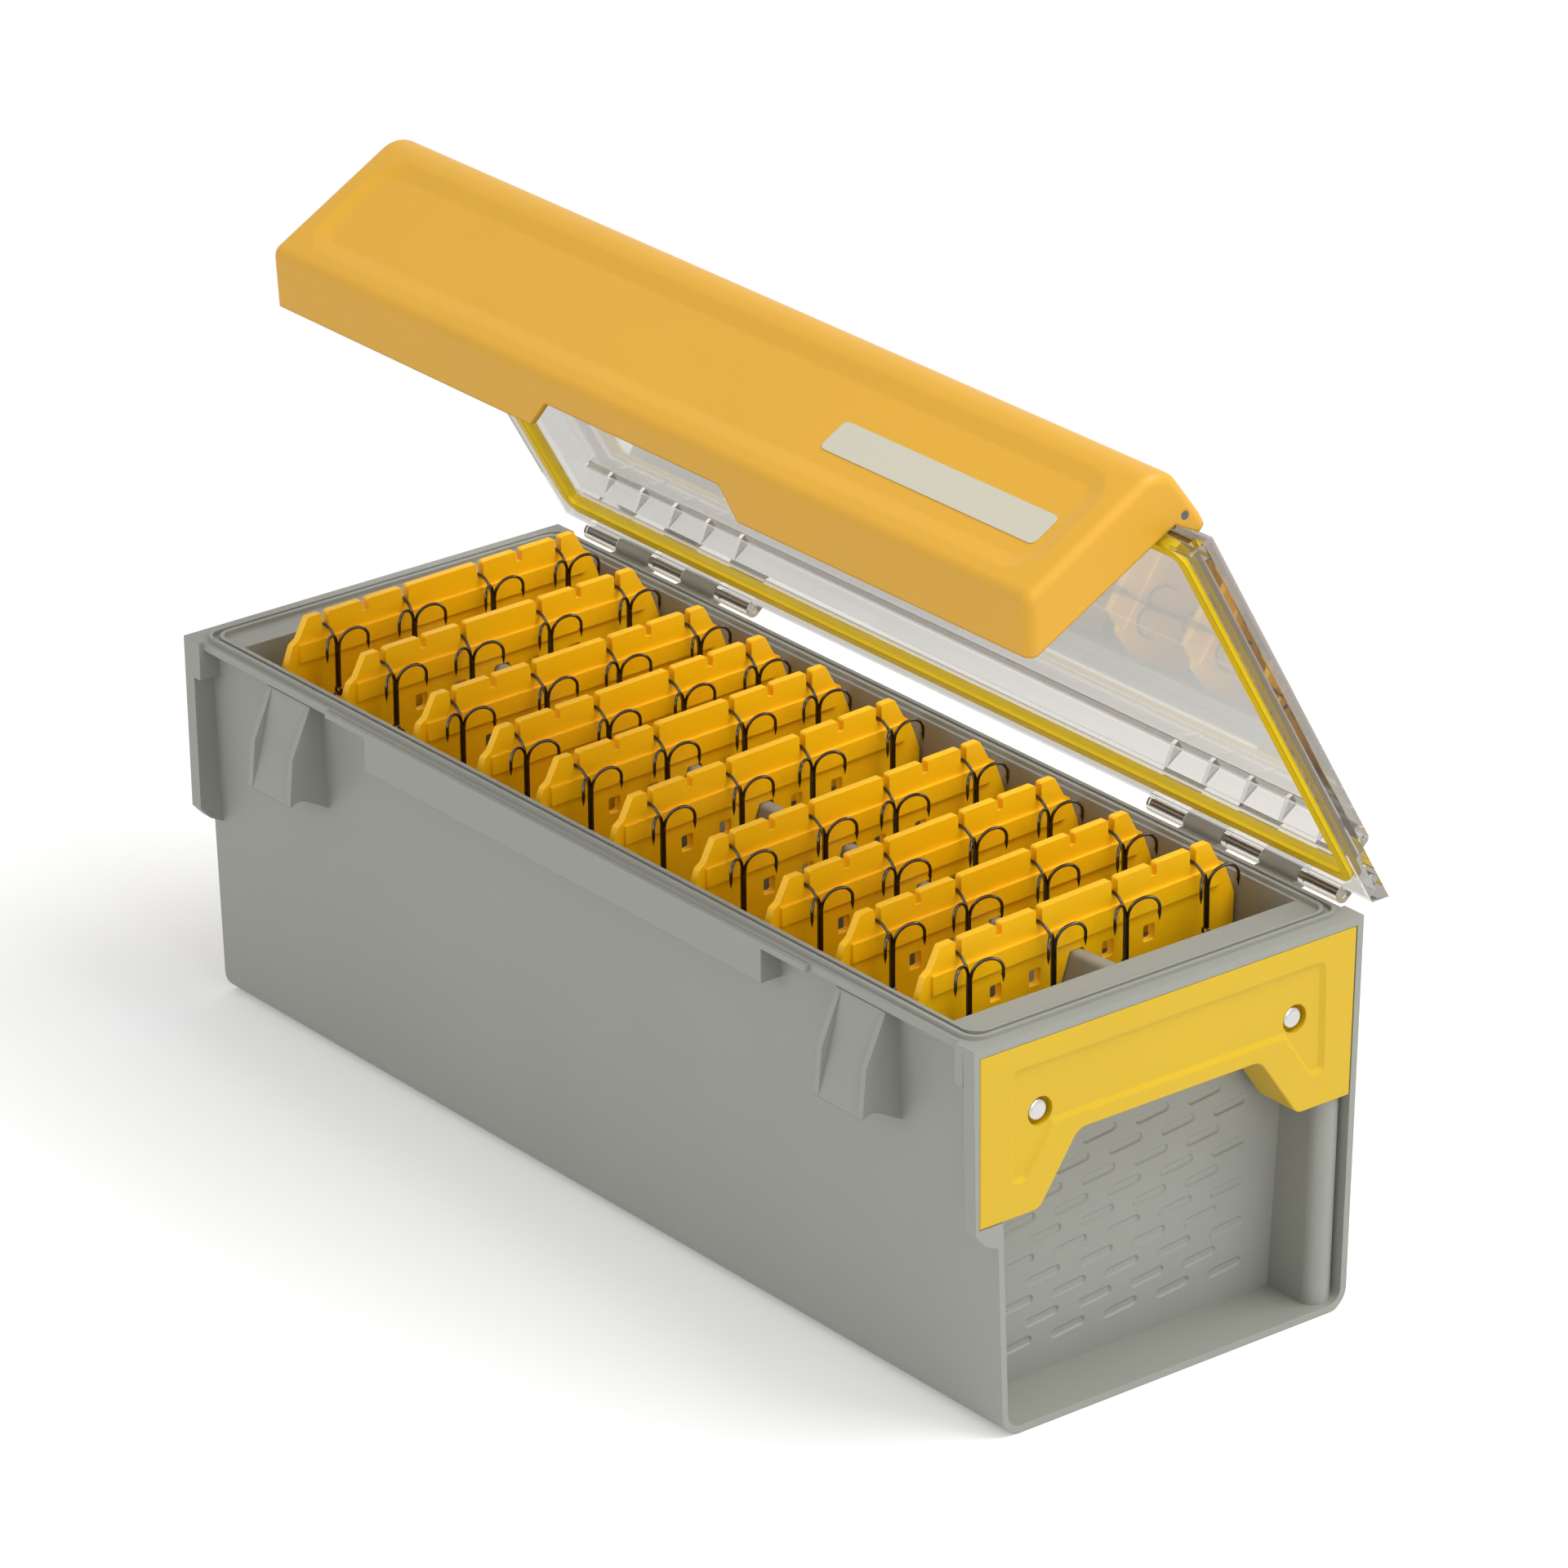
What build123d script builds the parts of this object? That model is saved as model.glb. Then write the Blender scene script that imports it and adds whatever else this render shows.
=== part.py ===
from build123d import *
import os
from math import atan, cos, degrees, hypot, radians, sin, tan

# Hanging lure box: a long tub under a clear hinged lid, a full-width latch panel on the lid's
# front edge, a bolted grip at each end and ten lift-out racks that hang treble hooks.
# Frame: X along the box, front at -Y, Z up, origin on the table below the middle of the tub.
# Millimetres and degrees.

os.makedirs("parts", exist_ok=True)

# Tub
tub_length = 451.0
tub_height = 146.2
base_width = 144.0
wall_slope = 1.86
wall = 2.0
floor_thickness = 2.7
base_radius = 8.0
rim_thickness = 3.1
rim_overhang = 6.5
end_recess = 20.5
end_wall = 2.7
end_flange = 2.6
column_radius = 5.5
column_inset = 7.5
ridge_width = 1.6
ridge_height = 1.5
ridge_spacing = 3.0
ridge_radius = 7.0
ridge_end_inset = 5.2
ridge_side_inset = 2.2

# Divider along the middle of the tub
divider_drop = 9.5
divider_rise = 5.2
divider_rise_length = 82.0
divider_top_width = 5.0
divider_flank = 20.3
divider_shoulder = 14.0
divider_wall = 2.2
divider_radius = 2.2
web_thickness = 8.0

# Wings that frame the end grips
wing_lip = 1.8
wing_skin = 2.7
wing_length = 5.5
wing_sill = 1.9
wing_taper = 7.8
tab_length = 4.3
tab_height = 14.7

# Front features: catches, nameplate block and lip
catch_inset = 61.9
catch_width = 26.3
catch_rib = 2.8
catch_knee_reach = 7.3
catch_knee_drop = 22.8
catch_reach = 9.0
catch_drop = 40.8
catch_undercut = 1.6
block_length = 227.2
block_height = 12.6
lip_length = 274.8
lip_height = 2.5

# Pressed grooves in the end walls
groove_length = 15.0
groove_height = 3.6
groove_depth = 0.6
groove_draft = 45.0
groove_pitch = 23.2
groove_rows = 14
groove_row_pitch = 7.8
groove_tilt = 6.0

# End grips and their screws
fit_gap = 0.1
plate_thickness = 3.0
plate_height = 62.4
grip_top_width = 79.4
grip_bottom_width = 113.0
grip_height = 24.3
grip_radius = 6.0
grip_wall = 2.5
grip_depth = 15.0
sunk_margin = 13.7
sunk_top = 8.6
sunk_foot = 12.0
sunk_grip_gap = 5.5
sunk_side_gap = 14.3
sunk_slope = 2.0
plate_edge = 0.7
sunk_depth = 1.2
sunk_radius = 2.6
screw_spacing = 111.2
screw_drop = 27.1
screw_diameter = 3.4
screw_length = 10.5
screw_head_diameter = 8.5
screw_head_height = 2.4
screw_head_round = 1.8
screw_recess = 1.8
cup_diameter = 10.4
cup_wall = 2.0
boss_diameter = 9.0
screw_tip_gap = 0.5
cross_length = 4.8
cross_width = 1.0

# Hinge
hinge_setback = 5.8
hinge_lift = 1.1
knuckle_radius = 3.3
pin_diameter = 2.6
running_gap = 0.05
knuckle_gap = 0.3
knuckle_inset = 113.5
knuckle_length = 19.6
knuckle_relief = 0.45
lid_open = 60.5

# Clear lid, with heights counted from the hinge axis along the closed lid's normal
lid_end_gap = 0.2
lid_front_gap = 0.6
margin_height = 7.5
margin_plate = 2.6
skirt_foot = 0.9
skirt_wall = 1.6
back_overhang = 1.5
raised_height = 17.3
raised_inset = 9.8
raised_back = 14.7
raised_draft = 1.0
raised_radius = 3.0
crown_step = 0.8
crown_step_place = 85.0
lid_wall = 2.2
gasket_width = 3.8
gasket_foot = 0.7
gasket_rib = 1.0
inner_rib = 1.6
rib_height = 2.7
gasket_radius = 5.0
gasket_end_inset = 7.6
gasket_side_inset = 4.1
skirt_back = 2.2
gusset_count = 5
gusset_start = 9.0
gusset_width = 1.8
rail_reach = 5.0
rail_width = 1.2
rail_height = 2.6

# Latch panel
panel_end_gap = 14.3
panel_wall = 2.5
panel_face_reach = 23.4
panel_top = 19.4
panel_crown = 12.0
panel_bend_radius = 5.0
panel_end_radius = 4.0
nose_reach = 9.4
panel_bend = 50.7
panel_skirt = 21.6
panel_skirt_angle = 25.9
recess_end_gap = 9.8
recess_height = 47.4
recess_foot = 43.6
recess_depth = 1.4
recess_slope = 6.4
skirt_notch_width = 116.0
skirt_notch_depth = 10.8
skirt_notch_slope = 9.5
skirt_notch_radius = 3.0
latch_pin_diameter = 3.0
latch_pin_reach = 1.1
latch_pin_height = 13.3
latch_pin_length = 15.0
lug_length = 10.0
lug_radius = 2.65
catch_hook_width = 13.0
catch_shelf = 3.4
catch_shelf_foot = 45.8
catch_shelf_length = 16.0
catch_lip = 2.5
catch_lip_rise = 1.2
label_length = 111.0
label_height = 13.4
label_end_gap = 18.5
label_foot = 31.0
label_thickness = 0.3
label_radius = 2.5

# Racks and their hooks
rack_count = 10
rack_inset = 22.1
rack_shift = [-3.2, -7.6, -5.5, -8.6, -13.9, -13.2, -6.8, -6.0, -7.5, -5.2]
rack_turn = [1.9, 1.6, 1.9, 3.0, 2.8, 4.1, 3.5, 3.6, 3.4, 3.3]
rack_thickness = 3.0
rack_band = 1.1
rack_depth = 48.0
rack_seat = 20.4
rack_wall_gap = 0.9
rack_divider_gap = 0.6
rack_seat_gap = 0.2
slot_depth = 6.0
slot_width = 2.8
inner_slot = 17.35
outer_slot = 53.8
notch_place = 35.6
notch_width = 2.5
notch_drop = 4.2
block_radius = 1.0
tooth_width = 6.3
tooth_slant = 4.3
tooth_drop = 7.7
shoulder_step = 2.9
shoulder_drop = 9.6
band_top = 9.5
band_height = 7.0
band_half = 66.0
rack_flare_drop = 22.0
window_width = 5.2
window_height = 6.0
window_drop = 21.7
window_radius = 0.8
window_places = [-37.0, -19.2, 14.4, 33.5]
wire_diameter = 1.15
hook_seat_gap = 0.5
arm_root = 0.6
arm_tail = 2.4
point_length = 2.6
barb_inset = 0.4
barb_length = 1.8
barb_tilt = 32.0
shank_diameter = 2.1
shank_length = 15.3
arm_radius = 7.0
bend_radius = 3.8
eye_radius = 1.5
eye_wire = 1.0
eye_drop = 16.9
ring_radius = 3.9
ring_wire = 0.7
ring_drop = 4.35
hook_turn = [4.0, -6.0, 8.0, -3.0, 6.0, -8.0, 2.0]

# Places that follow from the sizes
slope = tan(radians(wall_slope))
rim_under = tub_height - rim_thickness
end_face = tub_length / 2


def wall_face(z):
    """Outer face of a long wall at height z."""
    return base_width / 2 + z * slope


def end_wall_face(z):
    """Outer face of an inner end wall at height z."""
    return end_face - end_recess - (tub_height - z) * slope


def inner_end(z):
    """Inner face of an inner end wall at height z."""
    return end_wall_face(z) - end_wall


def divider_top(x):
    """Height of the divider's top edge, which climbs smoothly towards the end walls."""
    t = max(0.0, (abs(x) - inner_end(tub_height) + divider_rise_length) / divider_rise_length)
    return tub_height - divider_drop + divider_rise * t * t * (3 - 2 * t)


def divider_half(drop):
    """Half the divider's width at a distance below its top edge."""
    flared = min(drop, divider_shoulder)
    return divider_top_width / 2 + flared * tan(radians(divider_flank)) + (drop - flared) * slope


rim_half = wall_face(rim_under) + rim_overhang
wing_face = rim_half + wing_lip
plate_half = wing_face - wing_skin - fit_gap
cheek_start = inner_end(0)
plate_top = rim_under - fit_gap
plate_bottom = plate_top - plate_height
plate_back = end_face - plate_thickness
screw_height = plate_top - screw_drop
screw_seat = end_face - screw_recess - screw_head_height
cup_floor = screw_seat - cup_wall
hinge_y = rim_half + hinge_setback
hinge_z = tub_height + hinge_lift
lid_half = end_face - lid_end_gap
lid_front = hinge_y + rim_half - lid_front_gap
panel_half = lid_half - panel_end_gap
recess_length = 2 * (panel_half - recess_end_gap)
catch_place = end_face - catch_inset
knuckle_start = end_face - knuckle_inset
label_place = panel_half - label_end_gap - label_length / 2


def cheek_face(z):
    """Outer face of the cheeks that close the end pockets at the back, at height z."""
    return wing_face - (tub_height - z) * slope


def wall_section(inset, low, high, radius, back=wall_face):
    """Sketch the space between the long walls, with rounded lower corners."""
    section = Polygon(
        (-wall_face(low) + inset, low),
        (back(low) - inset, low),
        (back(high) - inset, high),
        (-wall_face(high) + inset, high),
        align=None,
    )
    fillet(section.vertices().group_by(Axis.Y)[0], radius)


def plate_sketch(spread):
    """Sketch a grip's outline: upright at the front, leaning with the cheek at the back."""
    low = plate_bottom - spread
    high = plate_top + spread
    skin = wing_skin + fit_gap - spread
    Polygon(
        (-plate_half - spread, low),
        (cheek_face(low) - skin, low),
        (cheek_face(high) - skin, high),
        (-plate_half - spread, high),
        align=None,
    )


# The tub's bar: long walls, floor and rim in one section, and cheeks at the back of both ends
with BuildPart() as bar:
    with BuildSketch(Plane.YZ):
        wall_section(0, 0, rim_under, base_radius)
    extrude(amount=end_face, both=True)
    for start in (cheek_start, -end_face):
        with BuildSketch(Plane.YZ.offset(start)):
            wall_section(0, 0, rim_under, base_radius, cheek_face)
        extrude(amount=end_face - cheek_start)
    with BuildSketch(Plane.XY.offset(rim_under)):
        Rectangle(tub_length, 2 * rim_half)
    extrude(amount=rim_thickness)

# The space for the racks
with BuildPart() as cavity:
    with BuildSketch(Plane.YZ):
        wall_section(wall, floor_thickness, tub_height + 1, base_radius - wall)
    extrude(amount=end_face, both=True)
    with BuildSketch(Plane.XZ):
        with BuildLine():
            Polyline(
                (-inner_end(floor_thickness), floor_thickness),
                (inner_end(floor_thickness), floor_thickness),
                (inner_end(tub_height + 1), tub_height + 1),
                (-inner_end(tub_height + 1), tub_height + 1),
                close=True,
            )
        make_face()
    extrude(amount=rim_half, both=True, mode=Mode.INTERSECT)

# The open pocket at each end, behind the grip
with BuildPart() as pocket:
    with BuildSketch(Plane.YZ):
        wall_section(end_flange, floor_thickness, rim_under, base_radius - end_flange, cheek_face)
    extrude(amount=end_face + 1, both=True)
    with BuildSketch(Plane.XZ):
        with BuildLine():
            Polyline(
                (end_wall_face(floor_thickness), floor_thickness),
                (end_face + 1, floor_thickness),
                (end_face + 1, rim_under),
                (end_wall_face(rim_under), rim_under),
                close=True,
            )
        make_face()
    extrude(amount=wing_face, both=True, mode=Mode.INTERSECT)

# A round-nosed column stands in the pocket's back corner and leans with the cheek
with BuildPart() as column:
    with BuildSketch():
        with Locations((end_face - column_inset, cheek_face(0) - end_flange - column_radius)):
            Circle(column_radius)
            Rectangle(end_recess, 2 * column_radius, align=(Align.MAX, Align.CENTER))
    extrude(amount=tub_height, dir=(0, slope, 1))
    add(pocket.part, mode=Mode.INTERSECT)

# Screw bosses inside the pocket
with BuildPart() as bosses:
    with BuildSketch(Plane.YZ.offset(end_wall_face(screw_height) - end_wall / 2)):
        with Locations((screw_spacing / 2, screw_height), (-screw_spacing / 2, screw_height)):
            Circle(boss_diameter / 2)
    extrude(amount=cup_floor - fit_gap / 2 - end_wall_face(screw_height) + end_wall / 2)
    with BuildSketch(Plane.YZ.offset(cup_floor)):
        with Locations((screw_spacing / 2, screw_height), (-screw_spacing / 2, screw_height)):
            Circle(screw_diameter / 2 + running_gap)
    extrude(amount=cup_wall - screw_length - screw_tip_gap, mode=Mode.SUBTRACT)

# Wing and its inward tab at the front of one end, and the cheek's top at the back
with BuildPart() as wings:
    with BuildSketch(Plane.YZ.offset(end_face - wing_length)):
        wing_foot = plate_bottom - wing_sill
        with BuildLine():
            Polyline(
                (wall_face(tub_height) - wall, tub_height),
                (wing_face, tub_height),
                (wing_face - 1.0, wing_foot),
                (wing_face - 5.3, wing_foot - 0.6 * wing_taper),
                (wall_face(wing_foot - wing_taper) - wall / 2, wing_foot - wing_taper),
                close=True,
            )
        make_face()
    extrude(amount=wing_length)
    with BuildSketch(Plane.YZ.offset(end_face - wing_length - tab_length)):
        with Locations((wing_face, tub_height)):
            Rectangle(wing_face - wall_face(rim_under) + wall / 2, tab_height, align=(Align.MAX, Align.MAX))
    extrude(amount=tab_length)
    mirror(about=Plane.XZ, mode=Mode.REPLACE)
    with BuildSketch(Plane.YZ.offset(end_face - wing_length - tab_length)):
        Polygon(
            (wall_face(rim_under), rim_under),
            (cheek_face(rim_under), rim_under),
            (wing_face, tub_height),
            (wall_face(rim_under), tub_height),
            align=None,
        )
    extrude(amount=wing_length + tab_length)

# Seat cut for the grip plate
with BuildPart() as seat:
    with BuildSketch(Plane.YZ.offset(plate_back - fit_gap)):
        plate_sketch(fit_gap)
    extrude(amount=plate_thickness + 1)

# Pressed grooves on the outside of one end wall
lean = degrees(atan(slope))
groove_foot = 2 * base_radius
groove_plane = Plane(
    origin=(end_wall_face(groove_foot), 0, groove_foot),
    x_dir=(0, 1, 0),
    z_dir=(cos(radians(lean)), 0, -sin(radians(lean))),
)
with BuildPart() as grooves:
    with BuildSketch(groove_plane):
        for row in range(groove_rows):
            shift = (row % 2) * groove_pitch / 2
            reach = wall_face(0) - base_radius - groove_length / 2
            count = int((reach - shift) // groove_pitch)
            places = [shift + groove_pitch * step for step in range(-count - row % 2, count + 1)]
            with Locations([(place, row * groove_row_pitch) for place in places]):
                SlotOverall(groove_length, groove_height, rotation=groove_tilt)
    extrude(amount=-groove_depth, taper=groove_draft)


def catch_profile(knee):
    """Side view of a front catch from the wall outwards; the knee is only on its side ribs."""
    tip_z = tub_height - catch_drop
    points = [
        (-wall_face(rim_under) + wall / 2, rim_under - 0.5),
        (-rim_half + 1.0, rim_under - 1.1),
        (-rim_half - catch_knee_reach, tub_height - catch_knee_drop),
        (-rim_half - catch_reach, tip_z),
        (-rim_half - catch_reach + 2.0, tip_z + 0.6 * catch_undercut),
        (-rim_half - catch_reach + 4.7, tip_z + catch_undercut),
        (-rim_half - 0.6, tip_z),
        (-wall_face(tip_z) + wall / 2, tip_z - 5.0),
    ]
    if not knee:
        points.pop(2)
    Polygon(*points, align=None)


with BuildPart() as catch:
    with BuildSketch(Plane.YZ.offset(catch_place - catch_width / 2)):
        catch_profile(knee=False)
    extrude(amount=catch_width)
    with BuildSketch(Plane.YZ.offset(catch_place - catch_width / 2)):
        catch_profile(knee=True)
    extrude(amount=catch_rib)
    with BuildSketch(Plane.YZ.offset(catch_place + catch_width / 2 - catch_rib)):
        catch_profile(knee=True)
    extrude(amount=catch_rib)


def divider_section(top, inset):
    """Cross-section of the divider, standing on the floor."""
    foot = divider_half(top) - inset
    shoulder = divider_half(divider_shoulder) - inset
    crest = divider_top_width / 2
    section = Polygon(
        (-foot, 0),
        (foot, 0),
        (shoulder, top - divider_shoulder),
        (crest, top),
        (-crest, top),
        (-shoulder, top - divider_shoulder),
        align=None,
    )
    fillet(section.vertices().group_by(Axis.Y)[-1], divider_radius)


rise_start = inner_end(tub_height) - divider_rise_length
with BuildPart() as divider:
    for step in range(5):
        station = rise_start + (divider_rise_length + end_wall / 2) * step / 4
        with BuildSketch(Plane.YZ.offset(station)):
            divider_section(divider_top(min(station, inner_end(tub_height))), 0)
    loft()
    mirror(about=Plane.YZ)
    with BuildSketch(Plane.YZ):
        divider_section(divider_top(0), 0)
    extrude(amount=rise_start, both=True)

with BuildPart() as divider_core:
    core_top = divider_top(0) - divider_wall
    core_foot = divider_half(core_top) - divider_wall
    core_shoulder = divider_half(divider_shoulder) - divider_wall
    with BuildSketch(Plane.YZ):
        with BuildLine():
            Polyline(
                (-core_foot, -1),
                (core_foot, -1),
                (core_shoulder, core_top + divider_wall - divider_shoulder),
                (0.6, core_top),
                (-0.6, core_top),
                (-core_shoulder, core_top + divider_wall - divider_shoulder),
                close=True,
            )
        make_face()
    extrude(amount=inner_end(0) - end_wall, both=True)
    with BuildSketch(Plane.XY.offset(-1)):
        Rectangle(web_thickness, base_width)
    extrude(amount=tub_height, mode=Mode.SUBTRACT)

# Knuckles alternate along each hinge: clear, grey, clear, grey, clear
knuckle_pitch = knuckle_length + knuckle_gap / 2


def knuckle_places(first):
    """Left ends of every second knuckle on both sides, starting with the given one."""
    places = []
    for index in range(first, 5, 2):
        start = knuckle_start + index * knuckle_pitch
        places.append(start)
        places.append(-start - knuckle_length + knuckle_gap / 2)
    return places


knuckle_width = knuckle_length - knuckle_gap / 2
with BuildPart() as tub:
    add(bar.part)
    add(cavity.part, mode=Mode.SUBTRACT)
    add(divider.part)
    add(divider_core.part, mode=Mode.SUBTRACT)
    for end in (pocket.part, pocket.part.mirror(Plane.YZ)):
        add(end, mode=Mode.SUBTRACT)
    for piece in (column.part, bosses.part, wings.part):
        add(piece)
        add(piece.mirror(Plane.YZ))
    for cut in (seat.part, grooves.part):
        add(cut, mode=Mode.SUBTRACT)
        add(cut.mirror(Plane.YZ), mode=Mode.SUBTRACT)
    add(catch.part)
    add(catch.part.mirror(Plane.YZ))
    # Nameplate block and lip along the front
    with BuildSketch(Plane.XY.offset(rim_under)):
        with Locations((0, -wing_face)):
            block_depth = wing_face - wall_face(rim_under) + wall / 2
            Rectangle(block_length, block_depth, align=(Align.CENTER, Align.MIN))
    extrude(amount=-block_height)
    with BuildSketch(Plane.XY.offset(rim_under)):
        with Locations((0, -wing_face)):
            Rectangle(lip_length, wing_lip + 1, align=(Align.CENTER, Align.MIN))
    extrude(amount=lip_height)
    # Two sealing ridges round the rim
    with BuildSketch(Plane.XY.offset(tub_height)):
        for step in (0, ridge_spacing):
            half_length = end_face - ridge_end_inset - step
            half_width = rim_half - ridge_side_inset - step
            RectangleRounded(2 * half_length, 2 * half_width, ridge_radius)
            RectangleRounded(
                2 * (half_length - ridge_width),
                2 * (half_width - ridge_width),
                ridge_radius - ridge_width,
                mode=Mode.SUBTRACT,
            )
    extrude(amount=ridge_height)
    # Grey hinge knuckles
    for place in knuckle_places(1):
        with BuildSketch(Plane.YZ.offset(place)):
            with Locations((hinge_y, hinge_z)):
                Circle(knuckle_radius)
            with Locations((hinge_y, tub_height)):
                Rectangle(hinge_setback + 1, rim_thickness, align=(Align.MAX, Align.MAX))
            with Locations((hinge_y, hinge_z)):
                Circle(pin_diameter / 2 + running_gap, mode=Mode.SUBTRACT)
        extrude(amount=knuckle_width)
tub.part.label = "tub"
export_step(tub.part, "parts/tub.step")

# End grip: a plate with a finger opening, a wall round the fingers and two screw cups
grip_run = (grip_bottom_width - grip_top_width) / 2 / grip_height
grip_top = plate_bottom + grip_height


def grip_half(z):
    """Half the finger opening's width at height z."""
    return grip_bottom_width / 2 - (z - plate_bottom) * grip_run


def grip_opening(spread):
    """Sketch the finger opening, spread for the outside of its wall."""
    side = spread * hypot(1, grip_run)
    foot = plate_bottom - 2 * grip_wall
    top = grip_top + spread
    with BuildSketch() as sketch:
        shape = Polygon(
            (-grip_half(foot) - side, foot),
            (grip_half(foot) + side, foot),
            (grip_half(top) + side, top),
            (-grip_half(top) - side, top),
            align=None,
        )
        fillet(shape.vertices().group_by(Axis.Y)[-1], grip_radius + spread)
    return sketch.sketch


def grip_sunk(shrink):
    """Sketch the sunk panel of the grip plate."""
    top = plate_top - sunk_top - shrink
    foot = plate_bottom + sunk_foot + shrink
    middle = grip_top + sunk_grip_gap + shrink
    outer = plate_half - sunk_margin - shrink
    with BuildSketch() as sketch:
        shape = Polygon(
            (-outer, top),
            (-outer, foot),
            (-grip_half(foot) - sunk_side_gap - shrink, foot),
            (-grip_half(middle) - sunk_side_gap - shrink, middle),
            (grip_half(middle) + sunk_side_gap + shrink, middle),
            (grip_half(foot) + sunk_side_gap + shrink, foot),
            (outer, foot),
            (outer, top),
            align=None,
        )
        fillet(shape.vertices(), sunk_radius - shrink)
    return sketch.sketch


with BuildSketch() as plate_outline:
    plate_sketch(0)
    add(grip_opening(0), mode=Mode.SUBTRACT)
    feet = plate_outline.vertices().group_by(Axis.Y)[0].sort_by(Axis.X)[1:3]
    fillet(feet, grip_radius - grip_wall / 2)

screw_places = [(screw_spacing / 2, screw_height), (-screw_spacing / 2, screw_height)]
with BuildPart() as grip:
    with BuildSketch(Plane.YZ.offset(plate_back)):
        add(plate_outline.sketch)
    extrude(amount=plate_thickness)
    with BuildSketch(Plane.YZ.offset(plate_back)):
        add(plate_outline.sketch)
        add(grip_opening(grip_wall), mode=Mode.INTERSECT)
    extrude(amount=-grip_depth)
    with BuildSketch(Plane.YZ.offset(cup_floor)):
        with Locations(*screw_places):
            Circle(cup_diameter / 2 + cup_wall)
    extrude(amount=plate_back - cup_floor)
    fillet(grip.faces().sort_by(Axis.X)[-1].outer_wire().edges(), plate_edge)
    with BuildSketch(Plane.YZ.offset(end_face)):
        add(grip_sunk(0))
    with BuildSketch(Plane.YZ.offset(end_face - sunk_depth)):
        add(grip_sunk(sunk_slope))
    loft(mode=Mode.SUBTRACT)
    with BuildSketch(Plane.YZ.offset(screw_seat)):
        with Locations(*screw_places):
            Circle(cup_diameter / 2)
    extrude(amount=screw_recess + screw_head_height, mode=Mode.SUBTRACT)
    with BuildSketch(Plane.YZ.offset(cup_floor)):
        with Locations(*screw_places):
            Circle(screw_diameter / 2 + fit_gap)
    extrude(amount=cup_wall, mode=Mode.SUBTRACT)

# Pan-head screw with a cross slot, pointing along -X from the underside of its head
with BuildPart() as screw:
    with BuildSketch(Plane.YZ):
        Circle(screw_diameter / 2)
    extrude(amount=-screw_length)
    with BuildSketch(Plane.YZ):
        Circle(screw_head_diameter / 2)
    extrude(amount=screw_head_height)
    fillet(screw.edges().sort_by(Axis.X)[-1], screw_head_round)
    with BuildSketch(Plane.YZ.offset(screw_head_height)):
        Rectangle(cross_length, cross_width)
        Rectangle(cross_width, cross_length)
    extrude(amount=-screw_head_height / 2, mode=Mode.SUBTRACT)

with BuildPart() as screw_pair:
    for place, height in screw_places:
        with Locations((screw_seat, place, height)):
            add(screw.part)

# Hinge pins, one through each group of knuckles
pin_length = 5 * knuckle_pitch - knuckle_gap - 1.0
with BuildPart() as hinge_pin:
    with BuildSketch(Plane.YZ.offset(knuckle_start + 0.5)):
        with Locations((hinge_y, hinge_z)):
            Circle(pin_diameter / 2)
    extrude(amount=pin_length)

for name, piece in (("handle_plate", grip), ("handle_screws", screw_pair), ("hinge_pin", hinge_pin)):
    for side, shape in (("right", piece.part), ("left", piece.part.mirror(Plane.YZ))):
        shape.label = f"{name}_{side}"
        export_step(shape, f"parts/{name}_{side}.step")

# The lid is drawn where it stands open: along runs from the hinge to its front edge
open_turn = radians(lid_open)
hinge_point = Vector(0, hinge_y, hinge_z)
along = Vector(0, -cos(open_turn), sin(open_turn))
outward = Vector(0, sin(open_turn), cos(open_turn))
lid_section = Plane(origin=hinge_point, x_dir=along, z_dir=(-1, 0, 0))
lid_plan = Plane(origin=hinge_point, x_dir=(1, 0, 0), z_dir=outward * -1)
plate_under = margin_height - margin_plate
gasket_x = end_face - gasket_end_inset
gasket_y = rim_half - gasket_side_inset
pin_s = lid_front + latch_pin_reach
lug_end = panel_half - panel_wall - 1.0


def lid_rectangle(half, back, front):
    """Sketch a rectangle on the lid's plan, between two distances from the hinge."""
    with Locations((0, (back + front) / 2)):
        Rectangle(2 * half, front - back)


def gasket_ring(outer, inner):
    """Sketch a ring that follows the gasket's middle line at the given distances from it."""
    with Locations((0, hinge_y)):
        RectangleRounded(2 * (gasket_x + outer), 2 * (gasket_y + outer), gasket_radius + outer)
        RectangleRounded(
            2 * (gasket_x + inner), 2 * (gasket_y + inner), gasket_radius + inner, mode=Mode.SUBTRACT
        )


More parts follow.
